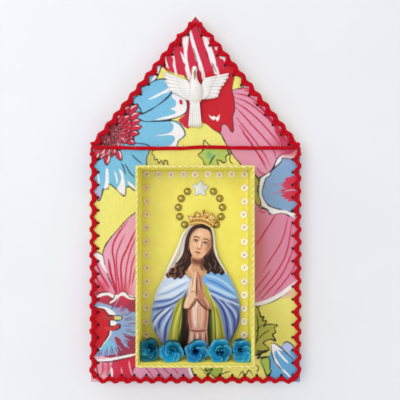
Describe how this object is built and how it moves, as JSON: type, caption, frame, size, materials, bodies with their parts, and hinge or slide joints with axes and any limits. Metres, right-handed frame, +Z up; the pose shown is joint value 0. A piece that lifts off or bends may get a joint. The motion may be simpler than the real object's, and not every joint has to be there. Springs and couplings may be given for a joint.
{
  "type": "wall chapel shrine",
  "caption": "House-shaped wall shrine covered in floral cotton, edged with red yarn, with a shallow yellow tray that holds a veiled figure, blue paper roses and a white dove above.",
  "frame": {"origin": "centre of the backing board's rear face, which lies on the wall behind the middle of the panel's square body", "axes": "+Z up towards the gable's point, +Y out of the back into the wall, front faces -Y, +X to the right as seen from the front"},
  "size_m": [0.1632, 0.0406, 0.2816],
  "materials": {
    "printed_cotton": "woven cotton with a bold flower print",
    "brown_card": "plain corrugated card",
    "yellow_card": "card with a smooth yellow face",
    "red_yarn": "soft twisted yarn",
    "yellow_cord": "two-strand twisted cord",
    "print_card": "satin print on card",
    "white_foam": "soft sticky foam",
    "gold_bead": "pearly gold coat",
    "pearl_star": "pearly white",
    "pale_sequin": "pale pearly film",
    "blue_paper": "matt coloured paper",
    "white_plastic": "satin moulded plastic",
    "brass": "plain bright brass"
  },
  "bodies": {
    "shrine": {"panel_core": "brown_card", "back_board": "brown_card", "fabric_cover": "printed_cotton", "edge_yarn": "red_yarn", "eave_yarn": "red_yarn", "tray_back": "yellow_card", "tray_wall_left": "yellow_card", "tray_wall_right": "yellow_card", "tray_wall_bottom": "yellow_card", "tray_wall_top": "yellow_card", "rim_cord": "yellow_cord", "figure_card": "print_card", "figure_pad_upper": "white_foam", "figure_pad_lower": "white_foam", "halo_bead_right_1": "gold_bead", "halo_bead_right_2": "gold_bead", "halo_bead_right_3": "gold_bead", "halo_bead_right_4": "gold_bead", "halo_bead_right_5": "gold_bead", "halo_bead_left_1": "gold_bead", "halo_bead_left_2": "gold_bead", "halo_bead_left_3": "gold_bead", "halo_bead_left_4": "gold_bead", "halo_bead_left_5": "gold_bead", "star": "pearl_star", "sequin_row_top": "pale_sequin", "sequin_row_left": "pale_sequin", "sequin_row_right": "pale_sequin", "rose_1": "blue_paper", "rose_2": "blue_paper", "rose_3": "blue_paper", "rose_4": "blue_paper", "rose_5": "blue_paper", "dove": "white_plastic", "hanger_plate": "brass", "hanger_tack_1": "brass", "hanger_tack_2": "brass"},
    "hanger": {"hanger_ring": "brass"}
  },
  "joints": [
    {"name": "hanger_swing", "type": "hinge", "parent": "shrine", "child": "hanger", "pos_m": [0, -0.00205, 0.125], "axis": [1, 0, 0], "range_deg": [0, 180]}
  ]
}
